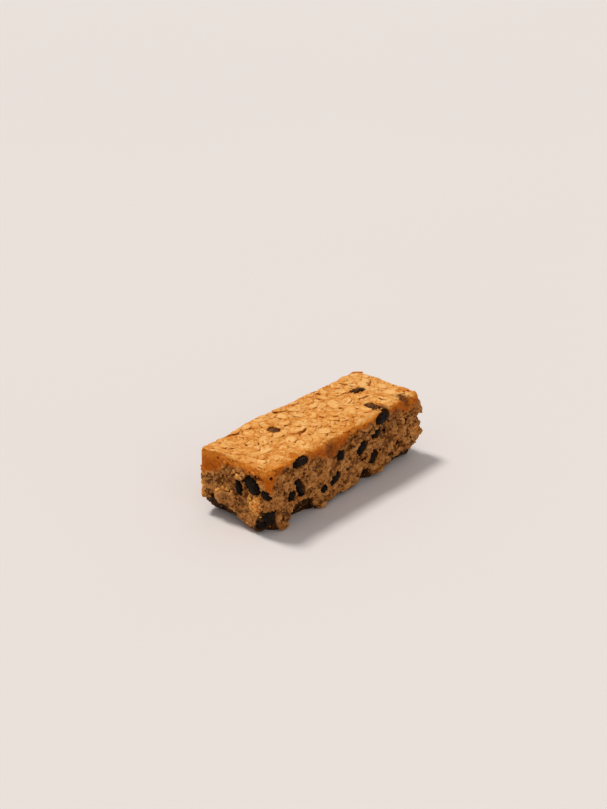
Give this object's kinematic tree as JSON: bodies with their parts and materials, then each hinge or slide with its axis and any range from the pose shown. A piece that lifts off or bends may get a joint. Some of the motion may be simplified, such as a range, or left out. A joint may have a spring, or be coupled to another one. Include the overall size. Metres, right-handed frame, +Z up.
{
  "type": "granola bar",
  "caption": "Thick soft-baked oat granola bar with a pressed oat-flake top, crumbly cut sides, a broken undercut foot and whole raisins set in its faces.",
  "frame": {"origin": "middle of the flat underside of the bar's bounding box", "axes": "+X along the bar's length, from the square cut end to the rounded end; +Y across the bar to the back face; +Z up through the oat-flake top"},
  "size_m": [0.1054, 0.0396, 0.032],
  "materials": {
    "oat_crumb": "baked oats and crumb, matt with a faint syrup sheen",
    "raisin": "wrinkled dried fruit skin, half gloss"
  },
  "bodies": {
    "root": {"bar": "oat_crumb", "raisin_01": "raisin", "raisin_02": "raisin", "raisin_03": "raisin", "raisin_04": "raisin", "raisin_05": "raisin", "raisin_06": "raisin", "raisin_07": "raisin", "raisin_08": "raisin", "raisin_09": "raisin", "raisin_10": "raisin", "raisin_11": "raisin", "raisin_12": "raisin", "raisin_13": "raisin", "raisin_14": "raisin", "raisin_15": "raisin", "raisin_16": "raisin", "raisin_17": "raisin", "raisin_18": "raisin", "raisin_19": "raisin", "raisin_20": "raisin", "raisin_21": "raisin", "raisin_22": "raisin", "raisin_23": "raisin", "raisin_24": "raisin", "raisin_25": "raisin", "raisin_26": "raisin", "raisin_27": "raisin", "raisin_28": "raisin"}
  },
  "joints": []
}
